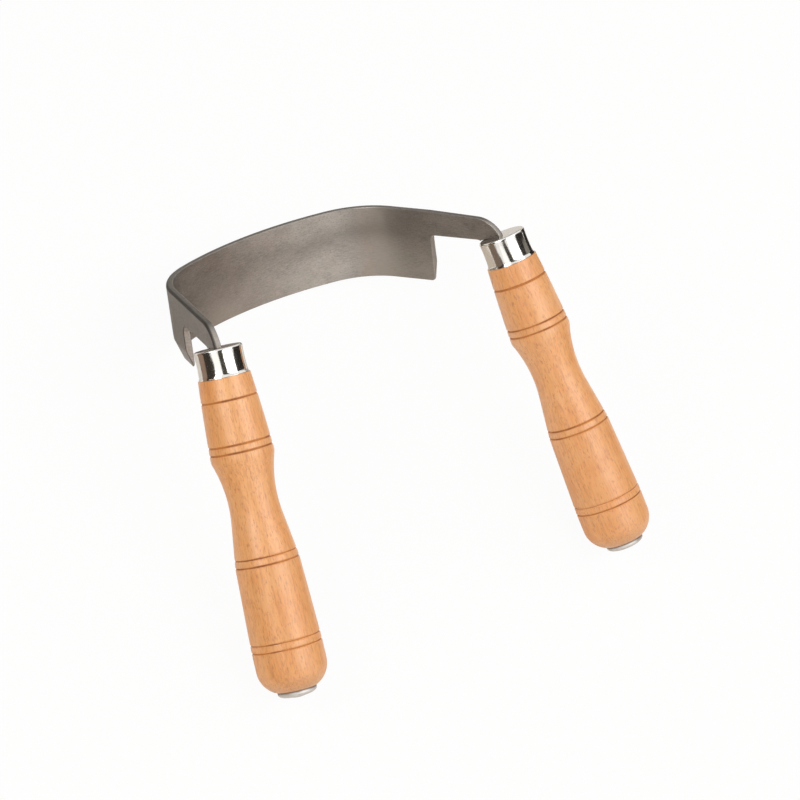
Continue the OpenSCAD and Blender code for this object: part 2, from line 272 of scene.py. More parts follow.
class Tree:
    """A node tree that is emptied and then written as expressions."""

    def __init__(self, owner):
        owner.use_nodes = True
        self.tree = owner.node_tree
        self.tree.nodes.clear()

    def node(self, kind, settings, inputs, out=0):
        """Adds a node: its settings come first, then the values or links of its sockets; gives one output.

        A colour is written without its alpha, which is always 1."""
        made = self.tree.nodes.new(kind)
        for name, value in settings.items():
            setattr(made, name, value)
        for key, value in inputs.items():
            socket = self.find(made.inputs, key)
            if isinstance(value, Value):
                self.tree.links.new(value.socket, socket)
            else:
                socket.default_value = (*value, 1.0) if socket.type == "RGBA" else value
        return Value(self, self.find(made.outputs, out)) if made.outputs else None

    @staticmethod
    def find(sockets, key):
        """A socket by its place, its identifier or its name."""
        if isinstance(key, int):
            return sockets[key]
        identified = [socket for socket in sockets if socket.identifier == key]
        return (identified or [socket for socket in sockets if socket.name == key])[0]

    def attribute(self, name, out="Fac"):
        """An attribute of the mesh's points, as a number or, by its Vector output, as a place."""
        return self.node("ShaderNodeAttribute", {"attribute_name": name}, {}, out)

    def noise(self, vector, cells, detail, roughness=0.5, distortion=0.0):
        """Noise with a number of cells per metre, which may differ along the three axes."""
        cells = tuple(np.broadcast_to(cells, 3))
        scaled = self.node("ShaderNodeVectorMath", {"operation": "MULTIPLY"}, {0: vector, 1: cells})
        inputs = {
            "Vector": scaled, "Scale": 1.0,
            "Detail": detail, "Roughness": roughness, "Distortion": distortion,
        }
        return self.node("ShaderNodeTexNoise", {}, inputs, "Fac")

    def mixed(self, factor, first, second):
        """Two colours mixed by a factor."""
        settings = {"data_type": "RGBA", "clamp_factor": True}
        inputs = {"Factor_Float": factor, "A_Color": first, "B_Color": second}
        return self.node("ShaderNodeMix", settings, inputs, "Result_Color")

    def bump(self, height, strength, distance):
        """A normal that leans as a relief does, which is a distance high."""
        inputs = {"Height": height, "Strength": strength, "Distance": distance}
        return self.node("ShaderNodeBump", {}, inputs, "Normal")

    def surface(self, inputs):
        """The finished Principled surface."""
        shader = self.node("ShaderNodeBsdfPrincipled", {}, inputs)
        self.node("ShaderNodeOutputMaterial", {}, {"Surface": shader})


def finish_named(name):
    """A new material and its empty node tree."""
    material = bpy.data.materials.new(name)
    return material, Tree(material)


# Steel: cells per metre along, across and through the blank, and colours
ROLLING_LINES = (330.0, 3000.0, 700.0)
GRINDING_LINES = (4200.0, 90.0, 90.0)
STEEL_CLOUDS = (70.0, 130.0, 70.0)
STEEL_WARMTH = 160.0
STEEL_SPECKS = 1300.0
DARK_STEEL = (0.19, 0.172, 0.154)
PALE_STEEL = (0.275, 0.252, 0.226)
WARM_STEEL = (0.285, 0.235, 0.205)
LINED_STEEL = (0.36, 0.332, 0.298)
SPECKED_STEEL = (0.135, 0.12, 0.105)
PAINTED_HIGHLIGHT_STEEL = (0.45, 0.415, 0.372)
# Marks on the steel, each over the one before it: strength, colour, and what it adds to the roughness. The
# painted shadow and the edge shade are painted shade, and the sheared edges are partly painted shade.
STEEL_MARKS = {
    "painted_shadow": (0.46, (0.12, 0.106, 0.09), 0.0),
    "sheared_and_shade": (0.55, (0.145, 0.13, 0.115), 0.12),
    "cut": (0.5, (0.62, 0.57, 0.52), 0.3),
    "edge_shade": (0.88, (0.05, 0.044, 0.037), 0.0),
    "wear": (0.5, (0.42, 0.395, 0.36), -0.08),
}
# Strength of the painted highlights between the grain's lines and in them, roughness, and heights in the
# relief
HIGHLIGHT_LEAST, HIGHLIGHT_GRAIN = 0.4, 0.7
STEEL_ROUGHNESS = 0.42
GRAIN_GLOSS, CLOUD_DULLNESS = 0.12, 0.12
GRAIN_HEIGHT, SPECK_HEIGHT = 0.7, 0.5
STEEL_RELIEF = 0.06 * MM


def brushed_steel():
    """Dull grey sheet steel: rolling lines, cloudy patches and specks, a cross-ground bevel, rubbed edges,
    and painted highlights and shade.
    """
    material, tree = finish_named("brushed_steel")
    blank = tree.attribute("blank", "Vector")
    ground = tree.attribute("ground")
    lines = tree.noise(blank, ROLLING_LINES, detail=4.0, roughness=0.7)
    cross_lines = tree.noise(blank, GRINDING_LINES, detail=3.0, roughness=0.6)
    clouds = tree.noise(blank, STEEL_CLOUDS, detail=4.0, roughness=0.6, distortion=0.6)
    warmth = tree.noise(blank, STEEL_WARMTH, detail=3.0, roughness=0.6)
    specks = tree.noise(blank, STEEL_SPECKS, detail=3.0, roughness=0.65)
    grain = lines * (1 - ground) + cross_lines * ground
    painted_highlight = tree.attribute("painted_highlight") * (HIGHLIGHT_LEAST + grain * HIGHLIGHT_GRAIN)
    colour = tree.mixed(clouds.stepped(low=0.3, high=0.7), DARK_STEEL, PALE_STEEL)
    colour = tree.mixed(warmth.stepped(low=0.4, high=0.7, most=0.45), colour, WARM_STEEL)
    colour = tree.mixed(grain.stepped(low=0.38, high=0.68, most=0.62), colour, LINED_STEEL)
    colour = tree.mixed(specks.stepped(low=0.5, high=0.72, most=0.6), colour, SPECKED_STEEL)
    colour = tree.mixed(painted_highlight, colour, PAINTED_HIGHLIGHT_STEEL)
    rough = STEEL_ROUGHNESS - grain * GRAIN_GLOSS + clouds * CLOUD_DULLNESS
    for name, (strength, shade, dullness) in STEEL_MARKS.items():
        mark = tree.attribute(name)
        colour = tree.mixed(mark * strength, colour, shade)
        rough = rough + mark * dullness
    relief = grain * GRAIN_HEIGHT + specks * SPECK_HEIGHT
    normal = tree.bump(relief, strength=0.25, distance=STEEL_RELIEF)
    tree.surface({"Base Color": colour, "Metallic": 1.0, "Roughness": rough, "Normal": normal})
    return material


# Nickel: cells per metre across and along the handle, colours, strength of the dirt and painted shade,
# roughness
NICKEL_SCRATCHES = (500.0, 500.0, 5200.0)
NICKEL_HAZE = 420.0
BRIGHT_NICKEL = (0.83, 0.8, 0.755)
HAZY_NICKEL = (0.7, 0.655, 0.6)
DIRT_AND_SHADE_NICKEL = (0.09, 0.078, 0.064)
DIRT_AND_SHADE_LEAST, DIRT_AND_SHADE_HAZE = 0.75, 0.3
POLISHED_ROUGHNESS = 0.07
SATIN_ROUGHNESS = 0.42
HAZE_DULLNESS, SCRATCH_DULLNESS, DIRT_AND_SHADE_DULLNESS = 0.07, 0.03, 0.15
NICKEL_RELIEF = 0.04 * MM


def nickel_plate(name, roughness):
    """Bright warm plating with faint scratches round the turned form, a few dull spots, dirt and painted
    shade.
    """
    material, tree = finish_named(name)
    turned = tree.attribute("turned", "Vector")
    scratches = tree.noise(turned, NICKEL_SCRATCHES, detail=3.0, roughness=0.7)
    haze = tree.noise(turned, NICKEL_HAZE, detail=3.0)
    dirt_and_shade_share = tree.attribute("dirt_and_shade") * (DIRT_AND_SHADE_LEAST + haze * DIRT_AND_SHADE_HAZE)
    colour = tree.mixed(haze.stepped(low=0.45, high=0.75, most=0.4), BRIGHT_NICKEL, HAZY_NICKEL)
    colour = tree.mixed(dirt_and_shade_share, colour, DIRT_AND_SHADE_NICKEL)
    rough = roughness + haze * HAZE_DULLNESS + scratches * SCRATCH_DULLNESS + dirt_and_shade_share * DIRT_AND_SHADE_DULLNESS
    normal = tree.bump(scratches, strength=0.06, distance=NICKEL_RELIEF)
    tree.surface({"Base Color": colour, "Metallic": 1.0, "Roughness": rough, "Normal": normal})
    return material


# Wood: cells per metre across and along the grip, colours, strengths, roughness, relief, lacquer
BEECH_FIBRES = (1250.0, 1250.0, 95.0)
BEECH_BANDS = (230.0, 120.0, 11.0)
BEECH_PORES = (1900.0, 1900.0, 400.0)
BEECH_SHADES = 80.0
BEECH_SCORCH = 70.0
RED_BEECH = (0.81, 0.322, 0.07)
YELLOW_BEECH = (0.86, 0.385, 0.11)
FIBRED_BEECH = (0.64, 0.222, 0.045)
PALE_BEECH = (0.84, 0.435, 0.165)
PORED_BEECH = (0.52, 0.165, 0.034)
SCORCHED_BEECH = (0.5, 0.17, 0.03)
CHARRED_BEECH = (0.25, 0.07, 0.011)
PORE_STRENGTH = 0.7
CHAR_LEAST, CHAR_FIBRES = 0.6, 0.8
BEECH_ROUGHNESS = 0.42
FIBRE_DULLNESS, CHAR_DULLNESS = 0.12, 0.2
FIBRE_HEIGHT, PORE_DEPTH = 0.6, 0.4
BEECH_RELIEF = 0.1 * MM
LACQUER_ROUGHNESS = 0.42
LACQUER_IOR = 1.65


def lacquered_beech():
    """Pale orange beech: long fibres, soft growth bands, short dark pores, burnt grooves, a painted shadow at
    the butt's seam, thin lacquer.
    """
    material, tree = finish_named("lacquered_beech")
    turned = tree.attribute("turned", "Vector")
    fibres = tree.noise(turned, BEECH_FIBRES, detail=5.0, roughness=0.7)
    bands = tree.noise(turned, BEECH_BANDS, detail=3.0, distortion=0.5)
    pores = tree.noise(turned, BEECH_PORES, detail=3.0, roughness=0.6).stepped(low=0.54, high=0.66)
    shades = tree.noise(turned, BEECH_SHADES, detail=4.0, roughness=0.6)
    scorch = tree.noise(turned, BEECH_SCORCH, detail=3.0)
    colour = tree.mixed(bands.stepped(low=0.32, high=0.68), RED_BEECH, YELLOW_BEECH)
    colour = tree.mixed(fibres.stepped(low=0.42, high=0.68, most=0.8), colour, FIBRED_BEECH)
    colour = tree.mixed(shades.stepped(low=0.35, high=0.7, most=0.4), colour, PALE_BEECH)
    colour = tree.mixed(pores * PORE_STRENGTH, colour, PORED_BEECH)
    # The burnt grooves and the painted seam shadow at the butt share this mask and its colours
    char_and_seam_shadow = (tree.attribute("burnt") * (CHAR_LEAST + fibres * CHAR_FIBRES)).clamped()
    char_and_seam_shadow_colour = tree.mixed(scorch.stepped(low=0.38, high=0.66), SCORCHED_BEECH, CHARRED_BEECH)
    colour = tree.mixed(char_and_seam_shadow, colour, char_and_seam_shadow_colour)
    rough = BEECH_ROUGHNESS + fibres * FIBRE_DULLNESS + char_and_seam_shadow * CHAR_DULLNESS
    relief = fibres * FIBRE_HEIGHT - pores * PORE_DEPTH
    normal = tree.bump(relief, strength=0.15, distance=BEECH_RELIEF)
    tree.surface({
        "Base Color": colour, "Roughness": rough, "Normal": normal,
        "Coat Weight": 1 - char_and_seam_shadow, "Coat Roughness": LACQUER_ROUGHNESS, "Coat IOR": LACQUER_IOR,
    })
    return material


# Places from the frame

MOUNTS = {
    mount["name"]: (np.array(mount["pos_m"]), np.array(mount["axis"])) for mount in frame["record"]["mounts"]
}


def node_points(name):
    """All vertices of a CAD node as an array, in metres."""
    vertices = frame["nodes"][name].data.vertices
    flat = np.empty(len(vertices) * 3)
    vertices.foreach_get("co", flat)
    return flat.reshape(-1, 3)


def handle_frame(side):
    """Origin in the ferrule's top; axes across the arm, to the arm's hollow side and down the handle."""
    place, along = MOUNTS[f"{side}_hand_grip"]
    inward = -MOUNTS[f"{side}_arm_flat"][1]
    start = ((node_points(f"{side}_ferrule") - place) @ along).min()
    return place + along * start, np.array([np.cross(inward, along), inward, along])


def blade_frame():
    """Origin between the ferrules' tops; axes to the right, to the hollow side and from spine to edge."""
    left, right = handle_frame("left")[0], handle_frame("right")[0]
    across = (right - left) / np.linalg.norm(right - left)
    down = np.cross(MOUNTS["left_arm_flat"][1], MOUNTS["right_arm_flat"][1])
    down /= np.linalg.norm(down)
    return (left + right) / 2, np.array([across, np.cross(down, across), down])


def to_row(points, place):
    """Points in millimetres in a frame of the tool, as metres in the row frame."""
    origin, axes = place
    return origin + MM * points @ axes


# Meshes

def new_piece(name, points, faces, finish, attributes):
    """A closed mesh with outward faces, its attributes on the points, riding on the one body."""
    mesh = bpy.data.meshes.new(name)
    mesh.from_pydata(points, [], faces)
    for key, values in attributes.items():
        kind, field = ("FLOAT_VECTOR", "vector") if values.ndim == 2 else ("FLOAT", "value")
        layer = mesh.attributes.new(key, kind, "POINT")
        layer.data.foreach_set(field, values.astype(np.float32).ravel())
    outward = bmesh.new()
    outward.from_mesh(mesh)
    bmesh.ops.recalc_face_normals(outward, faces=outward.faces)
    outward.to_mesh(mesh)
    outward.free()
    mesh.shade_smooth()
    mesh.materials.append(finish)
    piece = bpy.data.objects.new(name, mesh)
    bpy.context.scene.collection.objects.link(piece)
    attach(piece, "root")
    return piece


def ring_faces(rings, around):
    """Quads between consecutive closed rings of points."""
    first = np.arange(rings - 1)[:, None] * around
    here = np.arange(around)[None, :]
    after = (here + 1) % around
    quads = np.stack([first + here, first + after, first + around + after, first + around + here], axis=-1)
    return quads.reshape(-1, 4).tolist()


def sharpen(piece, angle):
    """Edges steeper than an angle stay crisp, and large faces keep their own shading."""
    piece.data.set_sharp_from_angle(angle=angle)
    weighted = piece.modifiers.new("even_shading", "WEIGHTED_NORMAL")
    weighted.keep_sharp = True


def quarter_turn(count):
    """Angles from 0 to a quarter turn in equal steps."""
    return np.linspace(0.0, math.pi / 2, count)


def swell(part):
    """A parabola that is 0 at both ends of a stretch and 1 in its middle."""
    return 4 * part * (1 - part)


# Blade

HALF_THICKNESS = BLADE_THICKNESS / 2
BOW_MIDDLE = BOW_RADIUS + HALF_THICKNESS
BEND_MIDDLE = BEND_RADIUS + HALF_THICKNESS
BOW_REACH = BOW_MIDDLE * BOW_HALF_ANGLE
BEND_REACH = BEND_MIDDLE * (ARM_ANGLE - BOW_HALF_ANGLE)
HANDLE_REACH = BOW_REACH + BEND_REACH + ARM_LENGTH
SPINE = -SPINE_RISE
EDGE = SPINE + BLADE_WIDTH
TANG_LOW = SPINE + TANG_WIDTH
BEVEL_START = EDGE - BEVEL_WIDTH
# Centre of the tang's edgewise bend, across the blank and along it from the handle
BEND_ACROSS = SPINE + TANG_BEND
BEND_ALONG = (TANG_OFFSET - TANG_BEND + BEND_ACROSS * math.sin(HANDLE_LEAN)) / math.cos(HANDLE_LEAN)
# Rows down a face, and the place in the section's ring of the crease where the bevel starts
FACE_ROWS = FLAT_ROWS + BEVEL_ROWS + 1
CREASE_ROW = FACE_ROWS + 2 * ROUND_STEPS + BEVEL_ROWS


def arc(steps):
    """Angles of a quarter turn in equal steps, without the first one."""
    return quarter_turn(steps + 1)[1:]


def bent(along, across, through):
    """Flat blank to bowed blade: each half follows a wide arc, a tighter arc and a straight line.

    The arcs run on the middle of the thickness, and a point stands off them along the inward normal."""
    length = np.abs(along)
    bow = np.minimum(length, BOW_REACH) / BOW_MIDDLE
    turn = bow + np.clip(length - BOW_REACH, 0.0, BEND_REACH) / BEND_MIDDLE
    straight = np.maximum(length - BOW_REACH - BEND_REACH, 0.0)
    x = BOW_MIDDLE * np.sin(bow) + BEND_MIDDLE * (np.sin(turn) - np.sin(bow)) + straight * np.cos(turn)
    y = -BOW_MIDDLE * np.cos(bow) - BEND_MIDDLE * (np.cos(turn) - np.cos(bow)) + straight * np.sin(turn)
    x = np.sign(along) * (x - through * np.sin(turn))
    y = y + through * np.cos(turn)
    return np.stack([x, y, across], axis=-1)


def straight_stretch(along, across, normal):
    """Points of a straight stretch of the blank's outline, and the inward normal at each."""
    points = np.stack(np.broadcast_arrays(np.asarray(along, float), np.asarray(across, float)), axis=-1)
    return points, np.broadcast_to(np.array(normal, float), points.shape)


def round_stretch(centre, radius, spokes, inward):
    """Points of a round stretch at the ends of its spokes; the normals run along (1) or against (-1) them."""
    return np.array(centre) + radius * spokes, inward * spokes


def blank_half(notch, fillet, tip_round, taper):
    """Upper and lower outline of half the flat blank, from its middle to the shoulder, with inward normals.

    The lower line is the cutting edge, a small round tip, the blade's end, the notch's fillet, the tang and
    the inside of the tang's edgewise bend. The upper line is the spine and the outside of that bend."""
    tip = HANDLE_REACH - notch
    bend = HANDLE_REACH + BEND_ALONG
    shoulder = BEND_ALONG * math.sin(HANDLE_LEAN) + BEND_ACROSS * math.cos(HANDLE_LEAN)

    def tang_bend(radius, inward):
        """The edgewise bend on a radius, from the tang to where it meets the shoulder's plane."""
        turn = (math.acos(shoulder / radius) - HANDLE_LEAN) * np.linspace(0.0, 1.0, BEND_STATIONS)[1:]
        spokes = np.stack([np.sin(turn), -np.cos(turn)], axis=-1)
        return round_stretch((bend, BEND_ACROSS), radius, spokes, inward)

    edge = np.linspace(0.0, tip - tip_round, EDGE_STATIONS)
    end = np.linspace(EDGE - tip_round, TANG_LOW + fillet, END_STATIONS)[1:]
    tang = np.linspace(tip + fillet, bend, TANG_STATIONS)[1:]
    tip_spokes = np.stack([np.sin(arc(TIP_STEPS)), np.cos(arc(TIP_STEPS))], axis=-1)
    notch_spokes = -np.stack([np.cos(arc(NOTCH_STEPS)), np.sin(arc(NOTCH_STEPS))], axis=-1)
    lower = (
        straight_stretch(edge, EDGE, (0, -1)),
        round_stretch((tip - tip_round, EDGE - tip_round), tip_round, tip_spokes, -1),
        straight_stretch(tip, end, (-1, 0)),
        round_stretch((tip + fillet, TANG_LOW + fillet), fillet, notch_spokes, 1),
        straight_stretch(tang, TANG_LOW, (0, -1)),
        tang_bend(TANG_BEND - TANG_WIDTH, 1),
    )
    # The spine has a point for each one of the lower line, spread evenly above the tip, end and notch
    above = np.linspace(tip - tip_round, tip + fillet, TIP_STEPS + END_STATIONS + NOTCH_STEPS)[1:]
    spine = np.concatenate([edge, above, tang])
    narrowed = SPINE + taper * np.clip((spine - tip) / (bend - tip), 0.0, 1.0)
    upper = straight_stretch(spine, narrowed, (0, 1)), tang_bend(TANG_BEND - taper, -1)
    return [np.concatenate(kind) for line in (upper, lower) for kind in zip(*line)]


def whole_blank():
    """Both halves of the blank's outlines and normals, from the left shoulder to the right one."""
    flip = np.array([-1.0, 1.0])
    left = [line[:0:-1] * flip for line in blank_half(*LEFT_HALF)]
    return [np.concatenate(pair) for pair in zip(left, blank_half(*RIGHT_HALF))]


def outer_face(across):
    """Distance of the outer face from the middle: half the thickness, less where the bevel is ground away."""
    ground = np.clip((across - BEVEL_START) / BEVEL_WIDTH, 0.0, 1.0)
    return -HALF_THICKNESS + ground * (BLADE_THICKNESS - EDGE_LAND)


def blade_strips(upper, upper_normal, lower, lower_normal):
    """The strips of the section, in order round it: two faces, and two quarter rounds at each edge.

    A strip has its points on the flat blank, station by station, and their distances from the middle of the
    thickness. A face runs in rows from the spine to the lower edge, closer below the crease of the bevel."""
    thickness = HALF_THICKNESS - outer_face(lower[:, 1])
    rounding = np.minimum(EDGE_ROUND, THIN_SHARE * thickness)[:, None]
    low = lower + rounding * lower_normal
    hollow_top = upper + SPINE_ROUND * upper_normal
    outer_top = upper + SPINE_CORNER * upper_normal
    # Share of the width at which the bevel starts, or just above the lower edge where there is none
    width = low[:, 1] - hollow_top[:, 1]
    start = np.minimum(BEVEL_START, low[:, 1] - LEAST_BEVEL) - hollow_top[:, 1]
    crease = np.clip(start / np.maximum(width, LEAST_BEVEL), *CREASE_SHARES)[:, None]
    rows = np.concatenate([
        crease * np.linspace(0.0, 1.0, FLAT_ROWS + 1),
        crease + (1 - crease) * np.linspace(0.0, 1.0, BEVEL_ROWS + 1)[1:],
    ], axis=1)[:, :, None]
    hollow = hollow_top[:, None, :] + rows * (low - hollow_top)[:, None, :]
    outer = outer_top[:, None, :] + rows * (low - outer_top)[:, None, :]
    outer_depth = outer_face(outer[:, :, 1])
    turn = arc(ROUND_STEPS)[None, :]

    def rounded(line, normal, radius, face, inward):
        """Points of a quarter round from a face to the narrow edge beside it."""
        place = line[:, None, :] + normal[:, None, :] * (radius * (1 - np.sin(turn)))[:, :, None]
        depth = face + inward * radius * (1 - np.cos(turn))
        return place, np.broadcast_to(depth, place.shape[:2])

    strips = {
        "hollow_face": (hollow, np.full(hollow.shape[:2], HALF_THICKNESS)),
        "edge_hollow_round": rounded(lower, lower_normal, rounding, HALF_THICKNESS, -1),
        "edge_outer_round": rounded(lower, lower_normal, rounding, outer_depth[:, -1:], 1),
        "outer_face": (outer, outer_depth),
        "spine_outer_round": rounded(upper, upper_normal, SPINE_CORNER, -HALF_THICKNESS, 1),
        "spine_hollow_round": rounded(upper, upper_normal, SPINE_ROUND, HALF_THICKNESS, -1),
    }
    for backward in ("edge_outer_round", "outer_face", "spine_hollow_round"):
        strips[backward] = tuple(part[:, ::-1] for part in strips[backward])
    return strips


def soft_marks(marks, flat):
    """Sum of bell curves: each is its strength where it lies and fades over its spreads along and across."""
    strength, along, long_spread, across, wide_spread = np.array(marks).T
    far_along = (flat[..., :1] - along) / long_spread
    far_across = (flat[..., 1:] - across) / wide_spread
    return (strength * np.exp(-(far_along**2) - far_across**2)).sum(axis=-1)


def blade_wear(strips, flat, through, upper, lower):
    """Shares of wear and of painted highlight and shade at every point of the section's ring: weights round
    its edges, and soft marks.
    """
    rub = np.sin(2 * arc(ROUND_STEPS))
    first, last = np.eye(ROUND_STEPS)[[0, -1]]

    def painted(weights):
        """Weights on the named strips, and 0 on the others."""
        layers = [
            np.zeros(depth.shape) + weights.get(name, 0.0) for name, (points, depth) in strips.items()
        ]
        return np.concatenate(layers, axis=1)

    spine_edge = painted({
        "spine_outer_round": np.minimum(1.0, last + SHEAR_AND_SHADE_ROUND * rub),
        "spine_hollow_round": np.minimum(1.0, first + SHEAR_AND_SHADE_CORNER),
    })
    lower_edge = painted({"edge_hollow_round": last, "edge_outer_round": first})
    filed = spine_edge * np.clip((np.abs(upper[:, :1]) - FILED_START) / FILED_FADE, 0.0, 1.0)
    cut_share = np.where(lower[:, :1] > 0, 1.0, LEFT_CUT_SHARE)
    spine_shade = np.array(SPINE_SHADE)
    hollow_side = through > HALF_THICKNESS - EDGE_ROUND
    return {
        "ground": painted({"outer_face": strips["outer_face"][0][..., 1] > BEVEL_START}),
        "wear": painted({"edge_hollow_round": EDGE_RUB * rub, "spine_hollow_round": SPINE_RUB * rub[::-1]}),
        # Painted shade: dark lines on the outer rounds of the edge and spine, where dark surroundings would
        # be reflected
        "edge_shade": painted({"edge_outer_round": EDGE_SHADE * rub[::-1], "spine_outer_round": spine_shade}),
        # Sheared spine edges, darkened further as painted shade
        "sheared_and_shade": spine_edge - filed,
        "cut": lower_edge * cut_share + FILED_SHARE * filed,
        # Painted highlights and painted shadows on the hollow face, standing in for reflected light and shade
        "painted_highlight": hollow_side * soft_marks(PAINTED_HIGHLIGHTS, flat),
        "painted_shadow": hollow_side * soft_marks(PAINTED_SHADOWS, flat),
        "blank": MM * np.concatenate([flat, through[..., None]], axis=-1),
    }


def mark_crease(piece, around):
    """Keeps the line where the bevel starts crisp: edges whose two points both lie on that row."""
    mesh = piece.data
    ends = np.empty(len(mesh.edges) * 2, int)
    mesh.edges.foreach_get("vertices", ends)
    on_row = (ends.reshape(-1, 2) % around == CREASE_ROW).all(axis=1)
    layer = mesh.attributes.get("sharp_edge") or mesh.attributes.new("sharp_edge", "BOOLEAN", "EDGE")
    sharp = np.empty(len(mesh.edges), bool)
    layer.data.foreach_get("value", sharp)
    layer.data.foreach_set("value", sharp | on_row)


def make_blade(finish):
    """The section's ring of strips carried along the blank, closed at both shoulders, and bent."""
    upper, upper_normal, lower, lower_normal = whole_blank()
    strips = blade_strips(upper, upper_normal, lower, lower_normal)
    flat, through = (np.concatenate(kind, axis=1) for kind in zip(*strips.values()))
    wear = blade_wear(strips, flat, through, upper, lower)
    attributes = {key: values.reshape(-1, *values.shape[2:]) for key, values in wear.items()}
    stations, around = through.shape
    points = bent(flat[..., 0], flat[..., 1], through)
    seat = bent(np.array([HANDLE_REACH]), np.zeros(1), np.zeros(1))[0]
    points[..., 1] -= seat[1]
    faces = ring_faces(stations, around)
    faces += [list(range(around)), list(range((stations - 1) * around, stations * around))]
    placed = to_row(points.reshape(-1, 3), blade_frame())
    piece = new_piece("bowed_blade", placed, faces, finish, attributes)
    sharpen(piece, BLADE_CRISP)
    mark_crease(piece, around)
    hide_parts("blade")


# Turned pieces

def make_turned(name, side, radius, place, finish, shares, ring=False):
    """A profile of radius against place along the handle, carried round the handle's axis.

    The profile starts and ends on the axis, where fans to one point close it, and a ring's profile closes on
    itself. Each share has one value for each point of the profile."""
    turn = np.linspace(0.0, 2 * math.pi, TURNED_SEGMENTS, endpoint=False)
    spokes = np.stack([np.cos(turn), np.sin(turn)], axis=-1)
    body = slice(None) if ring else slice(1, -1)
    flat = radius[body, None, None] * spokes
    tall = np.broadcast_to(place[body, None, None], flat.shape[:2] + (1,))
    local = np.concatenate([flat, tall], axis=-1).reshape(-1, 3)
    attributes = {key: np.repeat(values[body], TURNED_SEGMENTS) for key, values in shares.items()}
    faces = ring_faces(len(flat), TURNED_SEGMENTS)
    here = np.arange(TURNED_SEGMENTS)
    after = (here + 1) % TURNED_SEGMENTS
    last = (len(flat) - 1) * TURNED_SEGMENTS
    if ring:
        faces += np.stack([last + here, last + after, after, here], axis=-1).tolist()
    else:
        pole = np.full_like(here, len(local))
        faces += np.stack([here, after, pole], axis=-1).tolist()
        faces += np.stack([last + after, last + here, pole + 1], axis=-1).tolist()
        local = np.concatenate([local, [[0.0, 0.0, place[0]], [0.0, 0.0, place[-1]]]])
        attributes = {key: np.concatenate([attributes[key], shares[key][[0, -1]]]) for key in shares}
    attributes["turned"] = MM * local
    return new_piece(name, to_row(local, handle_frame(side)), faces, finish, attributes)


def grip_radius(place):
    """Radius of the wood: a swelled neck, a hollow waist, a straight flank, a belly and a rounded butt."""
    centre = WAIST_RADIUS + WAIST_HOLLOW
    shoulder_turn = math.acos((centre - SHOULDER_RADIUS) / WAIST_HOLLOW)
    shoulder = WAIST_PLACE - WAIST_HOLLOW * math.sin(shoulder_turn)
    run, rise = BELLY_PLACE - WAIST_PLACE, centre - BELLY_RADIUS
    flank_turn = math.atan2(run, rise) - math.acos(WAIST_HOLLOW / math.hypot(run, rise))
    flank = WAIST_PLACE + WAIST_HOLLOW * math.sin(flank_turn)
    butt_centre = BUTT_RADIUS - BUTT_ROUND
    butt_turn = math.acos((WASHER_RADIUS - butt_centre) / BUTT_ROUND)
    butt = GRIP_LENGTH - BUTT_ROUND * math.sin(butt_turn)
    part = place / shoulder
    neck = NECK_RADIUS + part * (SHOULDER_RADIUS - NECK_RADIUS) + NECK_SWELL * swell(part)
    waist = centre - np.sqrt(np.maximum(WAIST_HOLLOW**2 - (place - WAIST_PLACE) ** 2, 0.0))
    side = BELLY_RADIUS - (BELLY_PLACE - place) * math.tan(flank_turn)
    belly = np.interp(place, [BELLY_PLACE, BUTT_PLACE], [BELLY_RADIUS, BUTT_RADIUS])
    end = butt_centre + np.sqrt(np.maximum(BUTT_ROUND**2 - np.maximum(place - butt, 0.0) ** 2, 0.0))
    stretches = [place < shoulder, place < flank, place < BELLY_PLACE, place < butt]
    return np.select(stretches, [neck, waist, side, belly], end)


def lathe_softened(place):
    """The wood's radius with softened corners: a bell-shaped running mean, except at both ends."""
    fine = np.arange(0.0, GRIP_LENGTH + PROFILE_STEP / 2, PROFILE_STEP)
    radius = grip_radius(fine)
    window = np.hanning(int(TURNED_SOFTNESS / PROFILE_STEP) * 2 + 1)
    middle = slice(len(window), -len(window))
    radius[middle] = np.convolve(radius, window / window.sum(), "same")[middle]
    return np.interp(place, fine, radius)


def make_grip(side, finish):
    """The wood from its spigot in the ferrule to its butt, with round-bottomed grooves that are burnt dark,
    and a painted shadow in the seam at the butt.

    The rings are spread evenly, and lie closer in the grooves and, as a sine, towards the butt."""
    paired = [place + step for place in PAIRED_GROOVES for step in (0.0, GROOVE_PITCH)]
    grooves = np.array([NECK_GROOVE, *paired])
    even = np.linspace(0.0, GRIP_LENGTH, GRIP_RINGS)
    near = grooves[:, None] + np.linspace(-GROOVE_REACH, GROOVE_REACH, GROOVE_RINGS) * GROOVE_WIDTH
    butt = GRIP_LENGTH - BUTT_FINE * (1 - np.sin(quarter_turn(BUTT_RINGS)))
    place = np.unique(np.concatenate([even, near.ravel(), butt]).round(RING_DECIMALS))
    distance = np.abs(place[:, None] - grooves)
    off = distance.min(axis=1) / (GROOVE_WIDTH / 2)
    share = np.array(BURNT_SHARES[side])[distance.argmin(axis=1)]
    radius = lathe_softened(place) - GROOVE_DEPTH * np.sqrt(np.maximum(1 - off**2, 0.0))
    # The last ring of wood before the washer takes the char colours as a painted shadow in the seam
    burnt = np.maximum(np.clip(BURN_FADE * (share - off), 0.0, 1.0), place > GRIP_LENGTH - BUTT_SEAM_SHADOW)
    radius = np.concatenate([[0.0, SPIGOT_RADIUS, SPIGOT_RADIUS], radius, [0.0]])
    spigot = [SPIGOT_TOP, SPIGOT_TOP, FERRULE_HEIGHT]
    along = np.concatenate([spigot, FERRULE_HEIGHT + place, [FERRULE_HEIGHT + GRIP_LENGTH]])
    burnt = np.concatenate([np.zeros(len(spigot)), burnt, [0.0]])
    piece = make_turned(f"{side}_beech_grip", side, radius, along, finish, {"burnt": burnt})
    sharpen(piece, TURNED_CRISP)
    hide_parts(f"{side}_grip")


